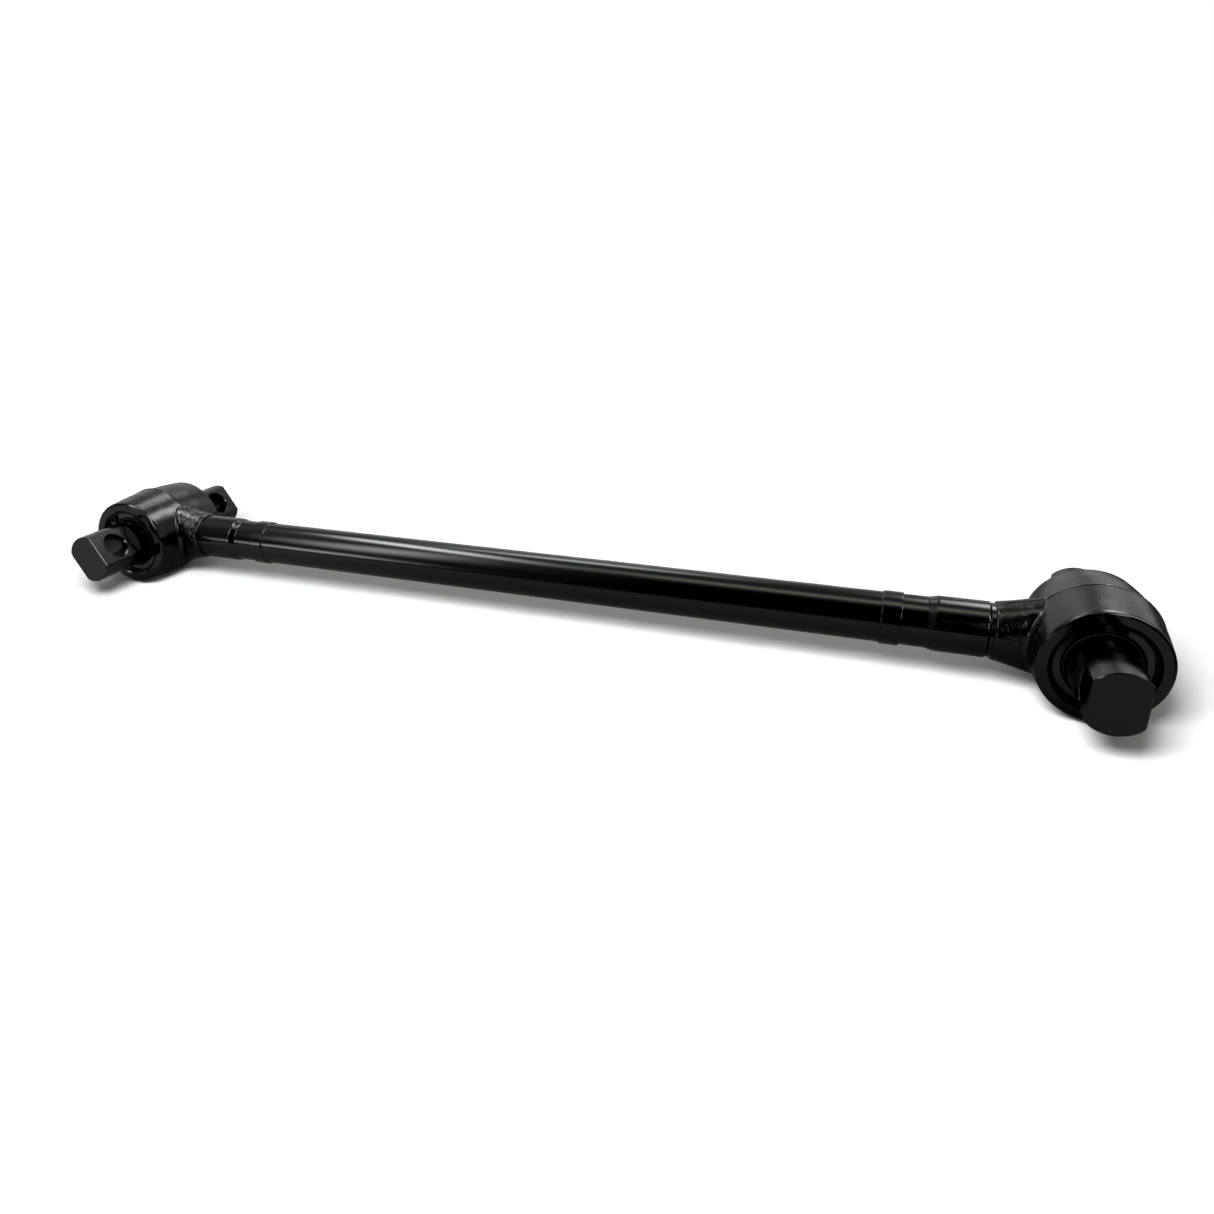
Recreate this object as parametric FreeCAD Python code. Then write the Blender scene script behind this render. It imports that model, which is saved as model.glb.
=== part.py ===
import FreeCAD, Part
import math
import os

# Torque rod: a straight steel tube with a forged eye at each end.  Each eye
# holds a rubber bush round a bar pin with two bolt holes, and the bush is kept
# in by a washer and a snap ring on each face.
#
# Frame: origin at the middle of the rod on its axis, +X along the rod towards
# the end whose bar pin stands level, +Y along the pins' axis (away from the
# viewer), +Z up.  Millimetres.

V = FreeCAD.Vector

# ---------------------------------------------------------------- dimensions
CENTRES = 755.0            # pin centre to pin centre
A = CENTRES / 2.0          # half of it: where each eye's axis stands on X

# tube
TUBE_R = 17.5
TUBE_BORE_R = 12.5
BAND_R = 18.42             # raised band where the tube is joined to the end
BAND_OUT_U = 113.4         # band's outer end, measured from the eye's axis
BAND_IN_U = 126.2          # band's inner end
BAND_ROUND = 0.7
SPIGOT_TIP_U = 150.0       # forging's spigot inside the tube reaches here
TUBE_END_GAP = 0.0

# forged end: eye
EYE_HALF_W = 40.0
EYE_R_RIDGE = 39.5         # front half at the parting plane
EYE_MID_Y = 20.0
EYE_R_MID = 38.3           # the flank's draft grows a little towards the face
EYE_R_FACE = 36.5          # at the flat face, before the edge round
BACK_R_RIDGE = 38.8        # the same for the back half
BACK_MID_Y = 22.0
BACK_R_MID = 37.6
BACK_R_FACE = 35.4
EYE_MID_ROUND = 60.0
EYE_EDGE_ROUND = 1.8
EYE_BORE_R = 29.0
BORE_MOUTH_CHAMFER = 0.8

# forged end: neck, half height (Z), half thickness (Y) and squareness of the
# oval section (2 is a true ellipse) against the distance from the eye's axis
NECK = [
    (57.75, 19.25, 19.25, 2.0),
    (52.5, 20.25, 19.1, 2.12),
    (47.0, 21.4, 18.9, 2.3),
    (41.5, 22.7, 18.8, 2.45),
    (36.0, 24.1, 18.7, 2.55),
    (31.0, 25.4, 18.7, 2.6),
    (25.5, 26.6, 18.7, 2.6),
]
# trimmed flash: a low land left along the parting line of the eye and neck
FLASH_HALF_W = 0.9
FLASH_H = 0.4
FLASH_ROUND = 0.8
NECK_END_ROUND = 0.8
NECK_BACK_STEP = 0.6
JUNCTION_ROUND = 3.5

# forged end: turned shank
GROOVE_R = 17.9
GROOVE_W = 2.9
SHANK_R = 18.75
SHANK_ROUND = 1.2
SHANK_IN_U = 92.0          # where the taper starts
TAPER_END_U = 97.6
REDUCED_R = 17.35

# snap rings and their grooves
RING_FRONT_DEPTH = 2.0     # face of the eye to the front of the ring
RING_T = 2.0
RING_SIDE_GAP = 0.08
RING_GROOVE_R = 31.0
RING_OUT_R = 30.8
RING_IN_R = 26.7
RING_GAP_DEG = 7.0         # half of the gap between the ring's ends
LUG_R = 3.3
LUG_AT_R = 25.7
LUG_AT_DEG = 12.5          # each lug's centre from the middle of the gap
LUG_HOLE_R = 1.25

# retaining washers
WASHER_OUT_R = 28.9
WASHER_IN_R = 22.0
WASHER_T = 3.6
WASHER_RING_GAP = 0.05     # to the snap ring in front of it

# bar pin
PIN_HALF_L = 86.8
PIN_R = 19.85
PIN_FLAT = 15.0            # half of the thickness over the flats
PIN_FLAT_FROM = 47.3       # the flats run from here to the end
PIN_CORNER_R = 6.0         # as-forged corners on the side away from the rod
PIN_BULGE_R = 23.6
PIN_BULGE_Y = 11.0
PIN_BULGE_END_Y = 25.0
BOLT_HOLE_R = 10.5
BOLT_HOLE_Y = 66.9
BOLT_HOLE_CHAMFER = 0.8
PIN_END_CHAMFER = 0.6
LEFT_PIN_TURN = 33.3       # degrees about the pin's axis, from +X towards +Z
RIGHT_PIN_TURN = 0.0

# rubber bush
BUSH_OUT_R = 28.9
BUSH_PIN_GAP = 0.08
BUSH_END_Y = 31.7
BUSH_LIP_R = 21.5
BUSH_LIP_Y = 36.2


# ------------------------------------------------------------------- helpers
def revolve_x(pts):
    """Solid of revolution about X from (x, r) points."""
    w = Part.makePolygon([V(x, 0, r) for x, r in pts] + [V(pts[0][0], 0, pts[0][1])])
    return Part.Face(w).revolve(V(0, 0, 0), V(1, 0, 0), 360)


def revolve_y(pts):
    """Solid of revolution about Y from (y, r) points."""
    w = Part.makePolygon([V(r, y, 0) for y, r in pts] + [V(pts[0][1], pts[0][0], 0)])
    return Part.Face(w).revolve(V(0, 0, 0), V(0, 1, 0), 360)


def cylinder_y(r, y0, y1):
    return Part.makeCylinder(r, y1 - y0, V(0, y0, 0), V(0, 1, 0))


def one_solid(shape):
    s = shape.removeSplitter()
    if s.ShapeType != "Solid":
        sol = s.Solids
        assert len(sol) == 1, len(sol)
        s = sol[0]
    assert s.isValid()
    return s


def rounded_path(pts):
    """(x, r) points whose third number, if any, is the radius of the corner:
    returns edges of lines and tangent arcs, closed."""
    n = len(pts)
    P = [V(p[0], 0, p[1]) for p in pts]
    R = [(p[2] if len(p) > 2 else 0.0) for p in pts]
    starts, ends, arcs = [None] * n, [None] * n, [None] * n
    for i in range(n):
        p, a, b = P[i], P[i - 1], P[(i + 1) % n]
        if R[i] <= 0:
            starts[i] = ends[i] = p
            continue
        da = (a - p).normalize()
        db = (b - p).normalize()
        ang = da.getAngle(db)
        t = R[i] / math.tan(ang / 2.0)
        pa, pb = p + da * t, p + db * t
        bis = (da + db).normalize()
        c = p + bis * (R[i] / math.sin(ang / 2.0))
        mid = c - bis * R[i]
        starts[i], ends[i] = pa, pb
        arcs[i] = Part.Arc(pa, mid, pb).toShape()
    edges = []
    for i in range(n):
        if arcs[i] is not None:
            edges.append(arcs[i])
        j = (i + 1) % n
        if ends[i].distanceToPoint(starts[j]) > 1e-7:
            edges.append(Part.LineSegment(ends[i], starts[j]).toShape())
    return edges


def revolve_x_rounded(pts):
    w = Part.Wire(rounded_path(pts))
    return Part.Face(w).revolve(V(0, 0, 0), V(1, 0, 0), 360)


def revolve_y_rounded(pts):
    """pts are (y, r[, corner radius])."""
    s = revolve_x_rounded(pts)
    s.rotate(V(0, 0, 0), V(0, 0, 1), 90)
    return s


# ---------------------------------------------------------------------- tube
def make_tube():
    xo = A - BAND_OUT_U
    xi = A - BAND_IN_U
    b = BAND_ROUND
    pts = [
        (-xo, TUBE_BORE_R), (-xo, BAND_R, b), (-xi, BAND_R, b), (-xi, TUBE_R, 0.5),
        (xi, TUBE_R, 0.5), (xi, BAND_R, b), (xo, BAND_R, b), (xo, TUBE_BORE_R),
    ]
    return one_solid(revolve_x_rounded(pts))


# --------------------------------------------------------------- forged ends
def neck_section(u, bz, by, square, n=32):
    """Closed oval wire in the plane x = -u, one smooth edge."""
    pts = []
    for i in range(n):
        t = 2.0 * math.pi * i / n
        c, s = math.cos(t), math.sin(t)
        k = (abs(c) ** square + abs(s) ** square) ** (-1.0 / square)
        pts.append(V(-u, -by * k * s, bz * k * c))
    c = Part.BSplineCurve()
    c.interpolate(Points=pts, PeriodicFlag=True)
    return Part.Wire([c.toShape()])


def forged_half(side):
    """Half of the eye and neck on one side of the parting plane, eye axis on
    the origin, neck towards -X."""
    nstep = NECK_BACK_STEP if side > 0 else 0.0
    u_end = NECK[0][0]
    u_eye = NECK[-1][0]
    # boss: drafted, slightly barrelled flank turned about the eye's axis
    w = EYE_HALF_W
    if side < 0:
        r0, y1, r1, r2 = EYE_R_RIDGE, EYE_MID_Y, EYE_R_MID, EYE_R_FACE
    else:
        r0, y1, r1, r2 = BACK_R_RIDGE, BACK_MID_Y, BACK_R_MID, BACK_R_FACE
    boss = one_solid(revolve_y_rounded([
        (0.0, 0.0), (0.0, r0), (side * y1, r1, EYE_MID_ROUND), (side * w, r2, EYE_EDGE_ROUND), (side * w, 0.0)]))
    wires = []
    for u, bz, by, square in NECK:
        k = min(1.0, 1.6 * (u_end - u) / (u_end - u_eye))
        wires.append(neck_section(u, bz - nstep * k, by, square))
    neck = Part.makeLoft(wires, True, False)
    neck = neck.common(Part.makeBox(80, 60, 120, V(-79, 0 if side > 0 else -60, -60)))
    half = one_solid(boss.fuse(neck))
    # the concave edge where the neck runs into the boss
    joint = []
    for e in half.Edges:
        bb = e.BoundBox
        m = e.valueAt((e.FirstParameter + e.LastParameter) / 2)
        if bb.YLength > 5 and abs(m.y) > 2 and -45 < m.x < -20:
            joint.append(e)
    half = half.makeFillet(JUNCTION_ROUND, joint)
    return one_solid(half)


def flash_land():
    """Low plate in the parting plane whose edge stands proud of the eye and
    neck all round, eye axis on the origin, neck towards -X."""
    r = EYE_R_RIDGE + FLASH_H
    w = FLASH_HALF_W
    disc = cylinder_y(r, -w, w)
    top = [(-u, bz + FLASH_H) for u, bz, by, square in NECK[1:]] + [(-19.0, NECK[-1][1] + FLASH_H + 1.2)]
    top = [(-56.2, NECK[0][1] - 0.6)] + top
    up = Part.BSplineCurve()
    up.interpolate([V(x, -w, z) for x, z in top])
    dn = Part.BSplineCurve()
    dn.interpolate([V(x, -w, -z) for x, z in top])
    a, b = top[0], top[-1]
    wire = Part.Wire([
        up.toShape(), Part.LineSegment(V(b[0], -w, b[1]), V(b[0], -w, -b[1])).toShape(),
        dn.toShape(), Part.LineSegment(V(a[0], -w, -a[1]), V(a[0], -w, a[1])).toShape()])
    plate = one_solid(disc.fuse(Part.Face(wire).extrude(V(0, 2 * w, 0))))
    corners = [e for e in plate.Edges
               if e.BoundBox.XLength < 1e-4 and e.BoundBox.ZLength < 1e-4 and -40 < e.BoundBox.XMin < -20]
    plate = plate.makeFillet(JUNCTION_ROUND, corners)
    rims = [e for e in plate.Edges
            if e.BoundBox.YLength < 1e-4 and not (e.BoundBox.XLength < 1e-4 and e.BoundBox.XMin < -50)]
    return one_solid(plate.makeFillet(FLASH_ROUND, rims))


def make_forging():
    u0 = NECK[0][0]
    front = forged_half(-1)
    back = forged_half(+1)
    # turned shank, taper, reduced part and the spigot inside the tube
    pts = [
        (-u0 + 4.0, 0.0), (-u0 + 4.0, GROOVE_R), (-u0 - GROOVE_W, GROOVE_R, 0.5),
        (-u0 - GROOVE_W, SHANK_R, SHANK_ROUND), (-SHANK_IN_U, SHANK_R, 6.0),
        (-TAPER_END_U, REDUCED_R, 4.0), (-BAND_OUT_U, REDUCED_R), (-BAND_OUT_U, TUBE_BORE_R),
        (-SPIGOT_TIP_U + 2.0, TUBE_BORE_R), (-SPIGOT_TIP_U, TUBE_BORE_R - 2.0), (-SPIGOT_TIP_U, 0.0),
    ]
    shank = revolve_x_rounded(pts)
    body = front.fuse([back, shank, flash_land()])
    body = one_solid(body)
    # round the neck's end: a turned cutter that leaves a quarter round
    q, rn = NECK_END_ROUND, NECK[0][1]
    p0, p1 = V(-u0, 0, rn - q), V(-u0 + q + 0.1, 0, rn + 0.22)
    pm = V(-u0 + 0.3 * q, 0, rn - 0.22 * q)
    w = Part.Wire([
        Part.Arc(p0, pm, p1).toShape(), Part.LineSegment(p1, V(p1.x, 0, rn + 3)).toShape(),
        Part.LineSegment(V(p1.x, 0, rn + 3), V(-u0 - 0.02, 0, rn + 3)).toShape(),
        Part.LineSegment(V(-u0 - 0.02, 0, rn + 3), V(-u0 - 0.02, 0, rn - q)).toShape(),
        Part.LineSegment(V(-u0 - 0.02, 0, rn - q), p0).toShape()])
    body = one_solid(body.cut(Part.Face(w).revolve(V(0, 0, 0), V(1, 0, 0), 360)))
    # bore with mouth chamfers and snap ring grooves
    w, c, r = EYE_HALF_W, BORE_MOUTH_CHAMFER, EYE_BORE_R
    d0 = RING_FRONT_DEPTH - RING_SIDE_GAP
    d1 = RING_FRONT_DEPTH + RING_T + RING_SIDE_GAP
    g = RING_GROOVE_R
    cut = revolve_y([
        (-w - 1, 0), (-w - 1, r + c + 1), (-w + c, r), (-w + d0, r), (-w + d0, g), (-w + d1, g), (-w + d1, r),
        (w - d1, r), (w - d1, g), (w - d0, g), (w - d0, r), (w - c, r), (w + 1, r + c + 1), (w + 1, 0),
    ])
    return one_solid(body.cut(cut))


# ---------------------------------------------------------------- small parts
def make_snap_ring(side, gap_deg):
    """Internal retaining ring with two eyed lugs; side -1 front, +1 back."""
    y0 = -EYE_HALF_W + RING_FRONT_DEPTH
    ring = cylinder_y(RING_OUT_R, y0, y0 + RING_T).cut(cylinder_y(RING_IN_R, y0 - 1, y0 + RING_T + 1))
    for s in (-1, 1):
        t = math.radians(gap_deg + s * LUG_AT_DEG)
        p = V(LUG_AT_R * math.cos(t), y0, LUG_AT_R * math.sin(t))
        ring = ring.fuse(Part.makeCylinder(LUG_R, RING_T, p, V(0, 1, 0)))
    ring = ring.removeSplitter()
    g = RING_GAP_DEG
    wedge = Part.makePolygon([
        V(0, y0 - 1, 0),
        V(50 * math.cos(math.radians(gap_deg - g)), y0 - 1, 50 * math.sin(math.radians(gap_deg - g))),
        V(50 * math.cos(math.radians(gap_deg + g)), y0 - 1, 50 * math.sin(math.radians(gap_deg + g))),
        V(0, y0 - 1, 0)])
    ring = ring.cut(Part.Face(wedge).extrude(V(0, RING_T + 2, 0)))
    for s in (-1, 1):
        t = math.radians(gap_deg + s * LUG_AT_DEG)
        p = V(LUG_AT_R * math.cos(t), y0 - 1, LUG_AT_R * math.sin(t))
        ring = ring.cut(Part.makeCylinder(LUG_HOLE_R, RING_T + 2, p, V(0, 1, 0)))
    ring = one_solid(ring)
    if side > 0:
        ring.rotate(V(0, 0, 0), V(0, 0, 1), 180)
    return ring


def make_washer(side):
    """Flat washer behind the snap ring."""
    y0 = -EYE_HALF_W + RING_FRONT_DEPTH + RING_T + WASHER_RING_GAP
    pts = [
        (y0, WASHER_OUT_R, 0.4), (y0, WASHER_IN_R, 0.8),
        (y0 + WASHER_T, WASHER_IN_R, 0.6), (y0 + WASHER_T, WASHER_OUT_R, 0.4),
    ]
    s = one_solid(revolve_y_rounded(pts))
    if side > 0:
        s.rotate(V(0, 0, 0), V(0, 0, 1), 180)
    return s


def pin_profile(grow, end_y):
    """Half profile of the pin's round middle, (y, r) with corner radii, grown
    by a gap all round."""
    return [
        (-end_y, PIN_R + grow), (-PIN_BULGE_END_Y, PIN_R + grow, 10.0 - grow), (-PIN_BULGE_Y, PIN_BULGE_R + grow, 12.0 + grow),
        (PIN_BULGE_Y, PIN_BULGE_R + grow, 12.0 + grow), (PIN_BULGE_END_Y, PIN_R + grow, 10.0 - grow), (end_y, PIN_R + grow),
    ]


def make_pin(milled, turn_deg):
    """Bar pin.  milled is +1 when the sharp-edged milled flats face +X and
    -1 when they face -X, before the pin is turned about its axis."""
    prof = [(-PIN_HALF_L, 0.0)] + pin_profile(0.0, PIN_HALF_L) + [(PIN_HALF_L, 0.0)]
    pin = one_solid(revolve_y_rounded(prof))
    for s in (-1, 1):
        y0 = s * PIN_FLAT_FROM
        y1 = s * (PIN_HALF_L + 5)
        ylo, yhi = min(y0, y1), max(y0, y1)
        # milled flat, square shoulder
        x0 = PIN_FLAT if milled > 0 else -PIN_FLAT - 20
        pin = pin.cut(Part.makeBox(20, yhi - ylo, 60, V(x0, ylo, -30)))
        # as-forged flat on the other side with a sloping run-out
        xa = -milled * PIN_FLAT
        xb = -milled * (PIN_FLAT + 6)
        tri = Part.makePolygon([V(xa, y0, -30), V(xb, y0 - s * 6, -30), V(-milled * 40, y0 - s * 6, -30),
                                V(-milled * 40, y1, -30), V(xa, y1, -30), V(xa, y0, -30)])
        pin = pin.cut(Part.Face(tri).extrude(V(0, 0, 60)))
    pin = one_solid(pin)
    # as-forged corners along the flat's two long edges
    long_edges = []
    for e in pin.Edges:
        bb = e.BoundBox
        if bb.XLength < 1e-4 and bb.ZLength < 1e-4 and bb.YLength > 25 and abs(bb.XMin + milled * PIN_FLAT) < 1e-3:
            long_edges.append(e)
    pin = pin.makeFillet(PIN_CORNER_R, long_edges)
    pin = one_solid(pin)
    # bolt holes with their mouths broken
    for s in (-1, 1):
        y = s * BOLT_HOLE_Y
        pin = pin.cut(Part.makeCylinder(BOLT_HOLE_R, 60, V(-30, y, 0), V(1, 0, 0)))
        c = BOLT_HOLE_CHAMFER
        for k in (-1, 1):
            cone = Part.makeCone(BOLT_HOLE_R, BOLT_HOLE_R + c + 0.4, c + 0.4, V(k * (PIN_FLAT - c), y, 0), V(k, 0, 0))
            pin = pin.cut(cone)
    pin = one_solid(pin)
    # end faces: outline edge broken
    ends = [e for e in pin.Edges if e.BoundBox.YLength < 1e-5 and abs(abs(e.BoundBox.YMin) - PIN_HALF_L) < 1e-5]
    pin = pin.makeChamfer(PIN_END_CHAMFER, ends)
    pin = one_solid(pin)
    # turning from +X towards +Z is a negative turn about +Y
    pin.rotate(V(0, 0, 0), V(0, 1, 0), -turn_deg)
    return pin


def make_bush():
    """Rubber round the pin, with a lip that fills each washer's hole."""
    g = BUSH_PIN_GAP
    inner = pin_profile(g, BUSH_LIP_Y)
    inner[0] = (-BUSH_LIP_Y, PIN_R + g, 0.7)
    inner[-1] = (BUSH_LIP_Y, PIN_R + g, 0.7)
    outer = [
        (BUSH_LIP_Y, BUSH_LIP_R, 0.7), (BUSH_END_Y, BUSH_LIP_R + 0.1, 0.4), (BUSH_END_Y - 1.5, 27.0, 1.0),
        (BUSH_END_Y - 2.5, BUSH_OUT_R, 0.8),
        (-BUSH_END_Y + 2.5, BUSH_OUT_R, 0.8), (-BUSH_END_Y + 1.5, 27.0, 1.0), (-BUSH_END_Y, BUSH_LIP_R + 0.1, 0.4),
        (-BUSH_LIP_Y, BUSH_LIP_R, 0.7),
    ]
    return one_solid(revolve_y_rounded(inner + outer))


# ------------------------------------------------------------------ assembly
def at(shape, x):
    s = shape.copy()
    s.translate(V(x, 0, 0))
    return s


def build():
    nodes = {}
    nodes["centre_tube"] = make_tube()
    forging = make_forging()
    nodes["right_forged_end"] = at(forging, A)
    nodes["left_forged_end"] = at(forging.mirror(V(0, 0, 0), V(1, 0, 0)), -A)
    bush = make_bush()
    for name, x, milled, turn, gap_f, gap_b in (
        ("left", -A, +1, LEFT_PIN_TURN, 143.0, 60.0),
        ("right", A, -1, RIGHT_PIN_TURN, 90.0, 215.0),
    ):
        nodes[name + "_bar_pin"] = at(make_pin(milled, turn), x)
        nodes[name + "_rubber_bush"] = at(bush, x)
        nodes[name + "_front_washer"] = at(make_washer(-1), x)
        nodes[name + "_rear_washer"] = at(make_washer(+1), x)
        nodes[name + "_front_snap_ring"] = at(make_snap_ring(-1, gap_f), x)
        nodes[name + "_rear_snap_ring"] = at(make_snap_ring(+1, gap_b), x)
    return nodes


os.makedirs("parts", exist_ok=True)
for node, shape in build().items():
    assert shape.isValid(), node
    assert shape.ShapeType == "Solid", (node, shape.ShapeType)
    shape.exportStep("parts/" + node + ".step")
    bb = shape.BoundBox
    print("%-24s vol %9.0f mm3  x %.1f..%.1f y %.1f..%.1f z %.1f..%.1f" % (
        node, shape.Volume, bb.XMin, bb.XMax, bb.YMin, bb.YMax, bb.ZMin, bb.ZMax))
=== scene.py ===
import bpy
import math
from mathutils import Matrix, Vector


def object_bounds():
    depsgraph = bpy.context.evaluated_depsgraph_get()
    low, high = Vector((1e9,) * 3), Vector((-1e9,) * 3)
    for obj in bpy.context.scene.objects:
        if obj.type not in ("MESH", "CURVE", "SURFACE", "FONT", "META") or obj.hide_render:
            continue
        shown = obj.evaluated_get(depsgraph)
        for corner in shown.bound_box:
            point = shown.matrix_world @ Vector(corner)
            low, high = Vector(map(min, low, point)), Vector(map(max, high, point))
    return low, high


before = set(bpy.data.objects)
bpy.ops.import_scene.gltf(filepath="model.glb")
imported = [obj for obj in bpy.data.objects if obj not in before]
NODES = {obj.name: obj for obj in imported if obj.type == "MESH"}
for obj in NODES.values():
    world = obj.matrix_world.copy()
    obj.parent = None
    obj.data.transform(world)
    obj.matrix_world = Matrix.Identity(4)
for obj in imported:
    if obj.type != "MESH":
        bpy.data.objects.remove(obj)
CAD_BOX = [list(c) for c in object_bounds()]
scene = bpy.context.scene

# ------------------------------------------------------------------ camera
# location and direction from a fit of the photograph's view; 1214 x 1214 frame
SIZE = 1214.0
CAM_AT = Vector((0.23884, -0.62195, 0.25744))
AZ, EL, ROLL = -0.394, 0.363, -0.027
FOCAL, PX, PY = 907.41, 515.32, 570.45


def make_camera():
    d = Vector((math.sin(AZ) * math.cos(EL), math.cos(AZ) * math.cos(EL), -math.sin(EL)))
    r = d.cross(Vector((0, 0, 1))).normalized()
    u = r.cross(d)
    r2 = r * math.cos(ROLL) + u * math.sin(ROLL)
    u2 = -r * math.sin(ROLL) + u * math.cos(ROLL)
    data = bpy.data.cameras.new("camera")
    data.sensor_fit = "HORIZONTAL"
    data.sensor_width = 36.0
    data.lens = FOCAL / SIZE * 36.0
    data.shift_x = (SIZE / 2 - PX) / SIZE
    data.shift_y = (PY - SIZE / 2) / SIZE
    data.clip_start, data.clip_end = 0.01, 200.0
    cam = bpy.data.objects.new("camera", data)
    scene.collection.objects.link(cam)
    m = Matrix((r2, u2, -d)).transposed().to_4x4()
    m.translation = CAM_AT
    cam.matrix_world = m
    scene.camera = cam
    return cam


# ----------------------------------------------------------- node building
class Tree:
    """Small helper that adds nodes and links them."""

    def __init__(self, tree):
        self.t = tree
        self.n = tree.nodes
        self.l = tree.links

    def add(self, kind, **props):
        node = self.n.new(kind)
        for k, v in props.items():
            setattr(node, k, v)
        return node

    def put(self, socket, value):
        if isinstance(value, bpy.types.NodeSocket):
            self.l.new(value, socket)
        elif value is not None:
            socket.default_value = value

    def math(self, op, a, b=None, c=None, clamp=False):
        node = self.add("ShaderNodeMath", operation=op, use_clamp=clamp)
        for i, v in enumerate((a, b, c)):
            if v is not None:
                self.put(node.inputs[i], v)
        return node.outputs[0]

    def noise(self, vector, scale, detail=2.0, rough=0.5, distortion=0.0, out="Fac"):
        node = self.add("ShaderNodeTexNoise")
        self.put(node.inputs["Vector"], vector)
        self.put(node.inputs["Scale"], scale)
        self.put(node.inputs["Detail"], detail)
        self.put(node.inputs["Roughness"], rough)
        self.put(node.inputs["Distortion"], distortion)
        return node.outputs[out]

    def voronoi(self, vector, scale, feature="F1", out="Distance"):
        node = self.add("ShaderNodeTexVoronoi", feature=feature)
        self.put(node.inputs["Vector"], vector)
        self.put(node.inputs["Scale"], scale)
        return node.outputs[out]

    def stretch(self, vector, x, y, z):
        node = self.add("ShaderNodeMapping")
        self.put(node.inputs["Vector"], vector)
        node.inputs["Scale"].default_value = (x, y, z)
        return node.outputs[0]

    def map(self, value, a, b, c, d, smooth=False):
        node = self.add("ShaderNodeMapRange", interpolation_type="SMOOTHSTEP" if smooth else "LINEAR")
        self.put(node.inputs[0], value)
        for i, v in enumerate((a, b, c, d)):
            self.put(node.inputs[i + 1], v)
        return node.outputs[0]

    def mix(self, fac, a, b):
        node = self.add("ShaderNodeMix", data_type="RGBA")
        self.put(node.inputs[0], fac)
        for i, v in ((6, a), (7, b)):
            if not isinstance(v, bpy.types.NodeSocket):
                v = (*v, 1.0) if len(v) == 3 else v
            self.put(node.inputs[i], v)
        return node.outputs[2]

    def bump(self, height, distance, strength=1.0, normal=None):
        node = self.add("ShaderNodeBump")
        node.inputs["Strength"].default_value = strength
        node.inputs["Distance"].default_value = distance
        self.put(node.inputs["Height"], height)
        if normal is not None:
            self.put(node.inputs["Normal"], normal)
        return node.outputs[0]


def new_material(name):
    m = bpy.data.materials.new(name)
    m.use_nodes = True
    m.node_tree.nodes.clear()
    t = Tree(m.node_tree)
    out = t.add("ShaderNodeOutputMaterial")
    bsdf = t.add("ShaderNodeBsdfPrincipled")
    t.l.new(bsdf.outputs[0], out.inputs[0])
    coord = t.add("ShaderNodeTexCoord").outputs["Object"]
    return m, t, bsdf, coord


# --------------------------------------------------------------- materials
def tube_paint():
    """Gloss black paint on drawn tube: faint orange peel and draw lines."""
    m, t, b, co = new_material("tube_paint")
    cloud = t.noise(co, 22.0, 3.0, 0.55)
    t.put(b.inputs["Base Color"], t.mix(cloud, (0.0016, 0.0018, 0.0018), (0.0030, 0.0032, 0.0032)))
    smear = t.noise(t.stretch(co, 0.35, 1.0, 1.0), 60.0, 4.0, 0.6)
    t.put(b.inputs["Roughness"], t.map(smear, 0.3, 0.75, 0.10, 0.14))
    b.inputs["IOR"].default_value = 1.5
    peel = t.noise(co, 420.0, 2.0, 0.5)
    lines = t.noise(t.stretch(co, 0.06, 1.0, 1.0), 900.0, 2.0, 0.5)
    waves = t.noise(t.stretch(co, 0.5, 1.0, 1.0), 55.0, 2.0, 0.5)
    n = t.bump(waves, 0.00005)
    n = t.bump(peel, 0.000012, normal=n)
    n = t.bump(lines, 0.000006, normal=n)
    t.put(b.inputs["Normal"], n)
    return m


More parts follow.
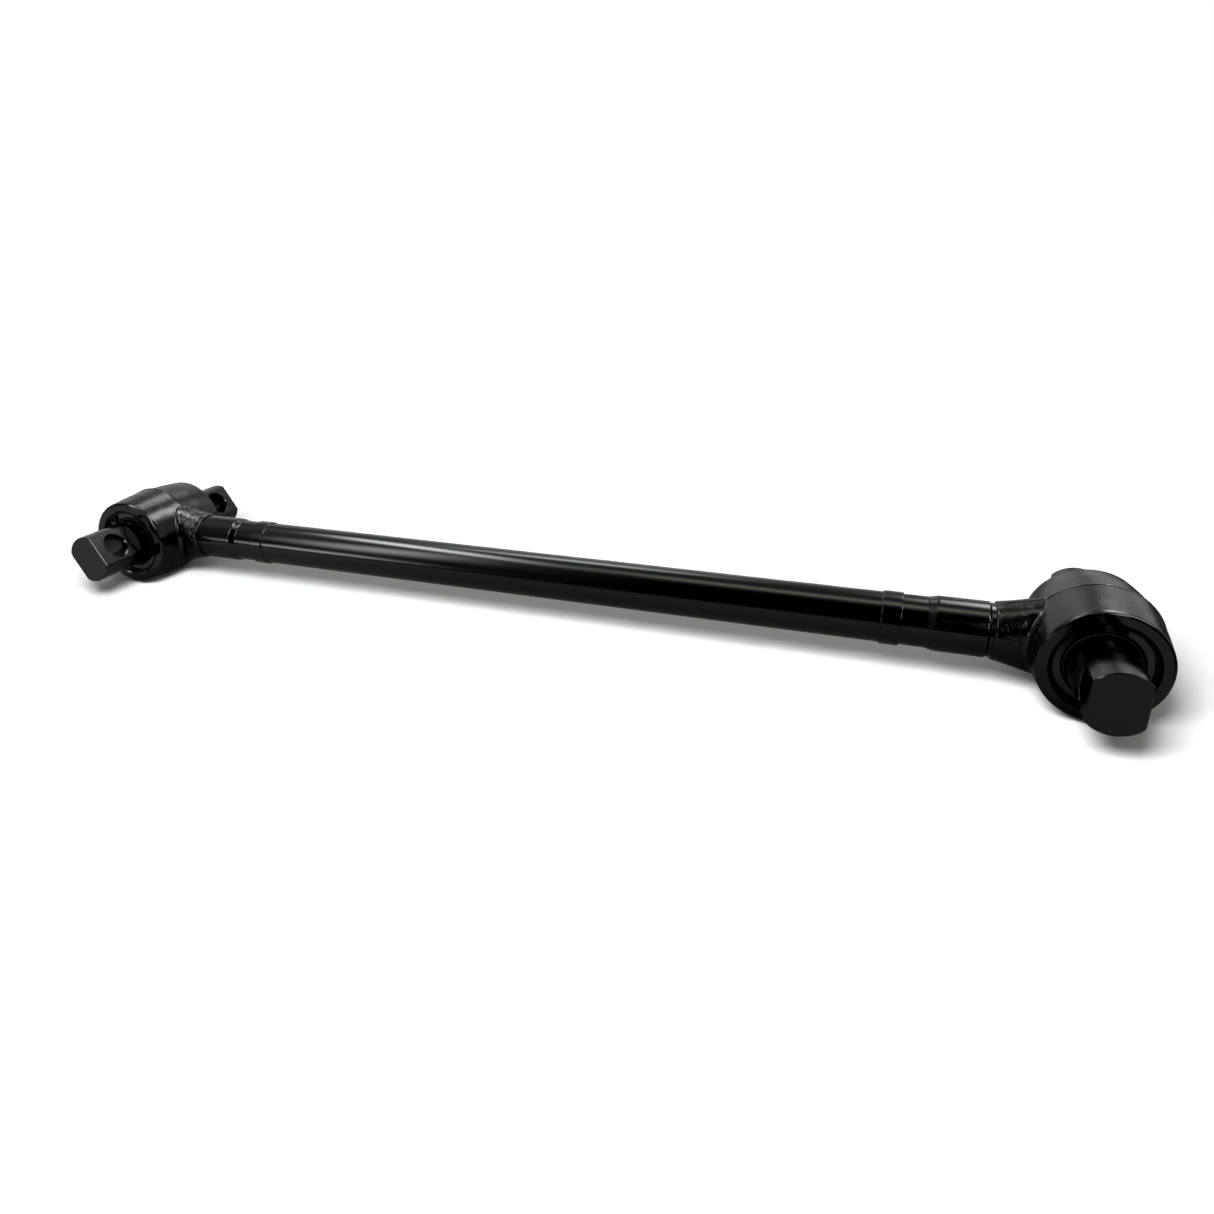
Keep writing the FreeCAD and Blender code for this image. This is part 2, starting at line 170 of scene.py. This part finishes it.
def forging_paint():
    """The same paint over a forged skin: grainy on the eye, lumpy on the neck
    and smooth where the forging is turned, bored or faced."""
    m, t, b, co = new_material("forging_paint")
    sep = t.add("ShaderNodeSeparateXYZ")
    t.l.new(co, sep.inputs[0])
    x, y, z = sep.outputs
    u = t.math("SUBTRACT", 0.3775, t.math("ABSOLUTE", x))
    rad = t.math("SQRT", t.math("ADD", t.math("MULTIPLY", u, u), t.math("MULTIPLY", z, z)))
    forged = t.map(u, 0.0566, 0.0570, 1.0, 0.0)
    inner = t.map(t.math("ABSOLUTE", y), 0.0364, 0.0378, 1.0, 0.0)
    outer = t.map(rad, 0.0305, 0.0325, 0.0, 1.0)
    land = t.map(t.math("ABSOLUTE", y), 0.0008, 0.0013, 0.25, 1.0)
    skin = t.math("MULTIPLY", t.math("MULTIPLY", t.math("MULTIPLY", forged, inner), outer), land)
    neck = t.math("MULTIPLY", t.map(rad, 0.0422, 0.0448, 0.0, 1.0), t.map(u, 0.0540, 0.0568, 1.0, 0.0))
    neck = t.math("MULTIPLY", neck, t.map(x, -0.1, 0.1, 1.0, 0.45))
    cloud = t.noise(co, 40.0, 4.0, 0.6)
    t.put(b.inputs["Base Color"], t.mix(cloud, (0.0020, 0.0024, 0.0023), (0.0042, 0.0048, 0.0045)))
    patch = t.noise(co, 170.0, 4.0, 0.65)
    rough = t.math("SUBTRACT", t.map(patch, 0.3, 0.72, 0.155, 0.25), t.math("MULTIPLY", neck, 0.05))
    # the hollow where the neck meets the eye holds more paint and is glossier
    hollow = t.math("MULTIPLY", t.map(rad, 0.0396, 0.0401, 0.0, 1.0), t.map(rad, 0.0424, 0.0436, 1.0, 0.0))
    hollow = t.math("MULTIPLY", hollow, t.map(u, 0.018, 0.022, 0.0, 1.0))
    rough = t.math("SUBTRACT", rough, t.math("MULTIPLY", hollow, 0.09))
    turned = t.map(t.noise(t.stretch(co, 1.0, 0.3, 0.3), 500.0, 3.0, 0.6), 0.3, 0.7, 0.07, 0.11)
    t.put(b.inputs["Roughness"], t.math("ADD", t.math("MULTIPLY", rough, skin),
                                        t.math("MULTIPLY", t.math("SUBTRACT", 1.0, skin), turned)))
    b.inputs["IOR"].default_value = 1.5
    lumps = t.noise(co, 210.0, 3.0, 0.55, 0.4)
    scale_marks = t.map(t.noise(co, 95.0, 2.0, 0.5), 0.35, 0.65, 0.0, 1.0, smooth=True)
    heavy = t.math("MULTIPLY", t.math("ADD", lumps, t.math("MULTIPLY", scale_marks, 0.35)), neck)
    light = t.math("MULTIPLY", lumps, skin)
    grain = t.math("MULTIPLY", t.noise(co, 760.0, 3.0, 0.6), skin)
    n = t.bump(heavy, 0.00060)
    n = t.bump(light, 0.00017, normal=n)
    n = t.bump(grain, 0.00007, normal=n)
    n = t.bump(t.noise(co, 420.0, 2.0, 0.5), 0.000012, normal=n)
    t.put(b.inputs["Normal"], n)
    return m


def pin_black():
    """Satin black on a machined and forged bar."""
    m, t, b, co = new_material("pin_black")
    cloud = t.noise(co, 60.0, 4.0, 0.6)
    t.put(b.inputs["Base Color"], t.mix(cloud, (0.0020, 0.0022, 0.0024), (0.0036, 0.0038, 0.0040)))
    patch = t.noise(co, 230.0, 3.0, 0.6)
    t.put(b.inputs["Roughness"], t.map(patch, 0.3, 0.7, 0.11, 0.17))
    b.inputs["IOR"].default_value = 1.5
    grain = t.noise(co, 900.0, 3.0, 0.6)
    t.put(b.inputs["Normal"], t.bump(grain, 0.00004))
    return m


def rubber():
    m, t, b, co = new_material("rubber")
    cloud = t.noise(co, 90.0, 3.0, 0.6)
    t.put(b.inputs["Base Color"], t.mix(cloud, (0.0015, 0.0015, 0.0015), (0.0030, 0.0030, 0.0029)))
    t.put(b.inputs["Roughness"], t.map(t.noise(co, 300.0, 3.0, 0.6), 0.3, 0.7, 0.55, 0.75))
    b.inputs["IOR"].default_value = 1.45
    t.put(b.inputs["Normal"], t.bump(t.noise(co, 1200.0, 2.0, 0.6), 0.00003))
    return m


def washer_steel():
    m, t, b, co = new_material("washer_steel")
    cloud = t.noise(co, 120.0, 3.0, 0.6)
    t.put(b.inputs["Base Color"], t.mix(cloud, (0.0030, 0.0032, 0.0034), (0.0050, 0.0053, 0.0056)))
    t.put(b.inputs["Roughness"], t.map(t.noise(co, 400.0, 3.0, 0.6), 0.3, 0.7, 0.16, 0.24))
    b.inputs["IOR"].default_value = 1.6
    t.put(b.inputs["Normal"], t.bump(t.noise(co, 1000.0, 2.0, 0.6), 0.00003))
    return m


def spring_steel():
    m, t, b, co = new_material("spring_steel")
    cloud = t.noise(co, 150.0, 3.0, 0.6)
    t.put(b.inputs["Base Color"], t.mix(cloud, (0.0012, 0.0012, 0.0013), (0.0022, 0.0022, 0.0023)))
    t.put(b.inputs["Roughness"], t.map(t.noise(co, 500.0, 3.0, 0.6), 0.3, 0.7, 0.45, 0.60))
    b.inputs["IOR"].default_value = 1.28
    t.put(b.inputs["Normal"], t.bump(t.noise(co, 1500.0, 2.0, 0.6), 0.00002))
    return m


def floor_material():
    """Pale paper.  It glows a little more the further it is from the rod, so
    that it runs into the white behind with no edge.  Reflections see a painted
    reflection instead: a dim emission in place of the lit floor, with painted
    shade close under the rod and darker further in front, behind and at the right."""
    m, t, b, co = new_material("pale_floor")
    cloud = t.noise(co, 1.3, 2.0, 0.5)
    t.put(b.inputs["Base Color"], t.mix(cloud, (0.53, 0.54, 0.545), (0.55, 0.56, 0.565)))
    b.inputs["Roughness"].default_value = 1.0
    b.inputs["Specular IOR Level"].default_value = 0.0
    sep = t.add("ShaderNodeSeparateXYZ")
    t.l.new(co, sep.inputs[0])
    x, y, z = sep.outputs
    dx = t.math("MAXIMUM", t.math("SUBTRACT", t.math("ABSOLUTE", x), 0.38), 0.0)
    d = t.math("SQRT", t.math("ADD", t.math("MULTIPLY", dx, dx), t.math("MULTIPLY", y, y)))
    b.inputs["Emission Color"].default_value = (1.0, 1.0, 1.0, 1.0)
    t.put(b.inputs["Emission Strength"], t.map(d, 0.16, 0.42, FLOOR_GLOW, 1.0, smooth=True))
    # painted shade for reflections only: the reflected floor darkens further in front, behind the rod, across towards
    # +X and at the right end
    near = t.map(t.math("MULTIPLY", y, -1.0), 0.24, 0.50, 1.0, 0.04, smooth=True)
    back = t.map(y, 0.0, 0.05, 1.0, 0.45, smooth=True)
    across = t.map(x, -0.42, -0.02, 0.53, 0.33, smooth=True)
    right = t.map(x, 0.45, 0.54, 1.0, 0.12, smooth=True)
    across = t.math("MULTIPLY", across, right)
    # painted shade: ambient occlusion darkens the reflected floor close under the rod
    ao = t.add("ShaderNodeAmbientOcclusion", samples=6)
    ao.inputs["Distance"].default_value = 0.30
    shade = t.math("POWER", ao.outputs["AO"], 1.8)
    # painted reflection: an emission stands in for the lit floor, with the painted shade above multiplied in
    painted_floor_reflection = t.math("MULTIPLY", t.math("MULTIPLY", near, back), t.math("MULTIPLY", across, shade))
    e = t.add("ShaderNodeEmission")
    e.inputs["Color"].default_value = (0.94, 0.99, 1.0, 1.0)
    t.l.new(painted_floor_reflection, e.inputs["Strength"])
    # the camera sees the lit floor; every other ray sees the painted reflection
    pick = t.add("ShaderNodeMixShader")
    t.l.new(t.add("ShaderNodeLightPath").outputs["Is Camera Ray"], pick.inputs[0])
    t.l.new(e.outputs[0], pick.inputs[1])
    t.l.new(b.outputs[0], pick.inputs[2])
    end = next(n for n in t.n if n.type == "OUTPUT_MATERIAL")
    t.l.new(pick.outputs[0], end.inputs[0])
    return m


# ------------------------------------------------------------ studio light
FLOOR_GLOW = 0.02
KEY = 106.0

# soft boxes of the studio, all REACH away from the rod's axis: (place along X,
# angle round the axis in degrees, half width, half height in degrees, degrees
# of lean per metre, crispness of its ends, radiance, colour).  The angle is 0
# towards -Y, 90 straight up and 180 towards +Y.
REACH = 3.0
BOXES = [
    (-1.64, 98.0, 0.36, 8.5, -22.0, 2.4, 13.6, (0.96, 1.00, 1.00)),
    (-1.88, 53.0, 0.35, 13.5, 17.0, 2.4, 5.6, (0.96, 1.00, 1.00)),
    (-2.24, 4.0, 0.40, 7.0, 0.0, 2.4, 5.8, (0.95, 1.00, 1.00)),
    (-0.915, 128.5, 0.44, 7.5, 6.0, 2.4, 4.8, (0.95, 1.00, 1.02)),
    (1.02, 128.5, 0.43, 9.5, 0.0, 3.0, 10.4, (0.95, 1.00, 1.02)),
    (3.30, 84.0, 1.50, 7.5, 0.0, 4.0, 13.0, (0.95, 1.00, 1.02)),
    (1.24, 36.0, 0.37, 9.0, 0.0, 5.0, 9.5, (0.95, 1.00, 1.02)),
]


def soft_box(i, x0, angle, half_x, half_a, lean, crisp, power, tint):
    """A glowing sheet with soft edges, seen only in reflections."""
    a = math.radians(angle)
    out = Vector((0.0, -math.cos(a), math.sin(a)))
    side = Vector((1.0, 0.0, 0.0))
    up = out.cross(side)
    hy = REACH * math.radians(half_a)
    w, h = 2.1 * half_x, 2.1 * (hy + abs(lean) * math.radians(1.0) * REACH * half_x)
    c = Vector((x0, 0.0, 0.0)) + out * REACH
    me = bpy.data.meshes.new("soft_box_%d" % i)
    me.from_pydata([c - side * w - up * h, c + side * w - up * h, c + side * w + up * h, c - side * w + up * h],
                   [], [(0, 1, 2, 3)])
    ob = bpy.data.objects.new("soft_box_%d" % i, me)
    scene.collection.objects.link(ob)
    m = bpy.data.materials.new("soft_box_%d" % i)
    m.use_nodes = True
    m.node_tree.nodes.clear()
    t = Tree(m.node_tree)
    end = t.add("ShaderNodeOutputMaterial")
    sep = t.add("ShaderNodeSeparateXYZ")
    t.l.new(t.add("ShaderNodeNewGeometry").outputs["Position"], sep.inputs[0])
    x, y, z = sep.outputs
    ang = t.math("MULTIPLY", t.math("ARCTAN2", z, t.math("MULTIPLY", y, -1.0)), 180.0 / math.pi)
    dx = t.math("SUBTRACT", x, x0)
    da = t.math("SUBTRACT", t.math("SUBTRACT", ang, angle), t.math("MULTIPLY", dx, lean))
    u = t.math("POWER", t.math("ABSOLUTE", t.math("DIVIDE", dx, half_x)), crisp)
    v = t.math("POWER", t.math("ABSOLUTE", t.math("DIVIDE", da, half_a)), 2.4)
    g = t.math("EXPONENT", t.math("MULTIPLY", t.math("ADD", u, v), -0.69))
    e = t.add("ShaderNodeEmission")
    e.inputs["Color"].default_value = (*tint, 1.0)
    t.l.new(t.math("MULTIPLY", g, power), e.inputs["Strength"])
    clear = t.add("ShaderNodeBsdfTransparent")
    both = t.add("ShaderNodeAddShader")
    t.l.new(e.outputs[0], both.inputs[0])
    t.l.new(clear.outputs[0], both.inputs[1])
    t.l.new(both.outputs[0], end.inputs[0])
    me.materials.append(m)
    ob.visible_camera = False
    ob.visible_diffuse = False
    ob.visible_transmission = False
    ob.visible_volume_scatter = False
    ob.visible_shadow = False


def make_world():
    w = bpy.data.worlds.new("studio")
    scene.world = w
    w.use_nodes = True
    w.node_tree.nodes.clear()
    t = Tree(w.node_tree)
    out = t.add("ShaderNodeOutputWorld")
    co = t.add("ShaderNodeTexCoord").outputs["Generated"]
    sep = t.add("ShaderNodeSeparateXYZ")
    t.l.new(co, sep.inputs[0])
    x, y, z = sep.outputs
    ang = t.math("MULTIPLY", t.math("ARCTAN2", z, t.math("MULTIPLY", y, -1.0)), 180.0 / math.pi)

    def ramp(stops):
        node = t.add("ShaderNodeValToRGB")
        t.put(node.inputs[0], t.map(ang, -180.0, 180.0, 0.0, 1.0))
        e = node.color_ramp.elements
        while len(e) > 1:
            e.remove(e[0])
        first = True
        for a, v in stops:
            p = (a + 180.0) / 360.0
            el = e[0] if first else e.new(p)
            el.position = p
            c = v if isinstance(v, tuple) else (v, v, v)
            el.color = (c[0] / 2, c[1] / 2, c[2] / 2, 1.0)
            first = False
        return node.outputs[0]

    warm = (1.95, 1.86, 1.60)
    right = ramp([
        (-180, 0.35), (-165, 0.12), (-150, 0.05), (-130, 0.02), (-115, 0.03), (-100, 0.06), (-85, 0.10), (-70, 0.14), (-55, 0.19),
        (-40, 0.22), (-12, 0.22), (-4, 0.09), (2, 0.010), (60, 0.010), (68, 0.07), (76, 0.45), (84, warm), (89, warm),
        (96, 0.60), (104, 0.23), (130, 0.22), (146, 0.30), (158, 0.50), (170, 0.62), (180, 0.55),
    ])
    left = ramp([
        (-180, 0.35), (-165, 0.12), (-150, 0.05), (-130, 0.03), (-115, 0.06), (-100, 0.11), (-85, 0.17), (-70, 0.23), (-55, 0.29),
        (-40, 0.37), (-10, 0.38), (-2, 0.30), (4, 0.10), (22, 0.10), (60, 0.18), (74, 0.30), (86, 0.42), (100, 0.42),
        (112, 0.28), (128, 0.20), (140, 0.42), (150, 0.62), (180, 0.50),
    ])
    col = t.mix(t.map(x, -0.42, -0.16, 0.0, 1.0, smooth=True), left, right)
    # a dark gap between the two big screens behind the object
    gap = t.math("POWER", t.math("DIVIDE", t.math("SUBTRACT", x, 0.045), 0.062), 2.0)
    gap = t.math("MULTIPLY", t.math("EXPONENT", t.math("MULTIPLY", gap, -1.0)), t.map(ang, 136.0, 146.0, 0.0, 0.42, smooth=True))
    # and their nearer halves, a little brighter
    lift = t.math("MULTIPLY", t.map(ang, 138.0, 146.0, 0.0, 1.0, smooth=True), t.map(ang, 152.0, 166.0, 1.0, 0.0, smooth=True))
    side = t.math("ADD", t.math("EXPONENT", t.math("MULTIPLY", t.math("POWER", t.math("DIVIDE", t.math("SUBTRACT", x, 0.29), 0.16), 2.0), -1.0)),
                  t.math("MULTIPLY", t.math("EXPONENT", t.math("MULTIPLY", t.math("POWER", t.math("DIVIDE", t.math("ADD", x, 0.22), 0.14), 2.0), -1.0)), 0.6))
    gain = t.math("ADD", t.math("SUBTRACT", 1.0, gap), t.math("MULTIPLY", t.math("MULTIPLY", lift, side), 1.2))
    scale = t.add("ShaderNodeVectorMath", operation="SCALE")
    t.l.new(col, scale.inputs[0])
    t.l.new(t.math("MULTIPLY", gain, 2.0), scale.inputs["Scale"])
    total = scale.outputs[0]
    light = t.add("ShaderNodeBackground")
    t.l.new(total, light.inputs[0])
    white = t.add("ShaderNodeBackground")
    white.inputs[0].default_value = (1, 1, 1, 1)
    pick = t.add("ShaderNodeMixShader")
    t.l.new(t.add("ShaderNodeLightPath").outputs["Is Camera Ray"], pick.inputs[0])
    t.l.new(light.outputs[0], pick.inputs[1])
    t.l.new(white.outputs[0], pick.inputs[2])
    t.l.new(pick.outputs[0], out.inputs[0])


def make_stage():
    z = CAD_BOX[0][2] - 0.0002
    r = 40.0
    me = bpy.data.meshes.new("floor")
    me.from_pydata([(-r, -r, z), (r, -r, z), (r, r, z), (-r, r, z)], [], [(0, 1, 2, 3)])
    floor = bpy.data.objects.new("floor", me)
    scene.collection.objects.link(floor)
    me.materials.append(floor_material())
    floor.visible_diffuse = False
    floor.visible_shadow = False
    # a soft lamp a little above and left of the viewer, only for the floor
    d = Vector((math.sin(AZ) * math.cos(EL), math.cos(AZ) * math.cos(EL), -math.sin(EL)))
    r = d.cross(Vector((0, 0, 1))).normalized()
    u = r.cross(d)
    data = bpy.data.lights.new("key", "POINT")
    data.energy = 1.0
    data.shadow_soft_size = 0.19
    data.use_nodes = True
    t = Tree(data.node_tree)
    t.n.clear()
    end = t.add("ShaderNodeOutputLight")
    em = t.add("ShaderNodeEmission")
    fall = t.add("ShaderNodeLightFalloff")
    fall.inputs["Strength"].default_value = KEY
    t.l.new(fall.outputs["Constant"], em.inputs["Strength"])
    t.l.new(em.outputs[0], end.inputs[0])
    lamp = bpy.data.objects.new("key", data)
    lamp.location = CAM_AT + u * 0.31 - r * 0.13
    lamp.visible_glossy = False
    lamp.visible_camera = False
    scene.collection.objects.link(lamp)
    only = bpy.data.collections.new("lit_by_key")
    only.objects.link(floor)
    lamp.light_linking.receiver_collection = only
    for i, spec in enumerate(BOXES):
        soft_box(i, *spec)


make_camera()
make_world()
make_stage()

MATERIALS = {
    "tube_paint": tube_paint(), "forging_paint": forging_paint(), "pin_black": pin_black(),
    "rubber": rubber(), "washer_steel": washer_steel(), "spring_steel": spring_steel(),
}
KIND = {"tube": "tube_paint", "forged": "forging_paint", "pin": "pin_black", "bush": "rubber",
        "washer": "washer_steel", "snap": "spring_steel"}
for name, ob in NODES.items():
    slot = next(v for k, v in KIND.items() if k in name)
    ob.data.materials.clear()
    ob.data.materials.append(MATERIALS[slot])

scene.view_settings.view_transform = "Standard"
scene.view_settings.look = "None"
scene.view_settings.exposure = 0.0
scene.view_settings.gamma = 1.0
scene.view_settings.use_curve_mapping = True
scene.view_settings.curve_mapping.black_level = (0.0018, 0.0018, 0.0018)
scene.view_settings.curve_mapping.update()
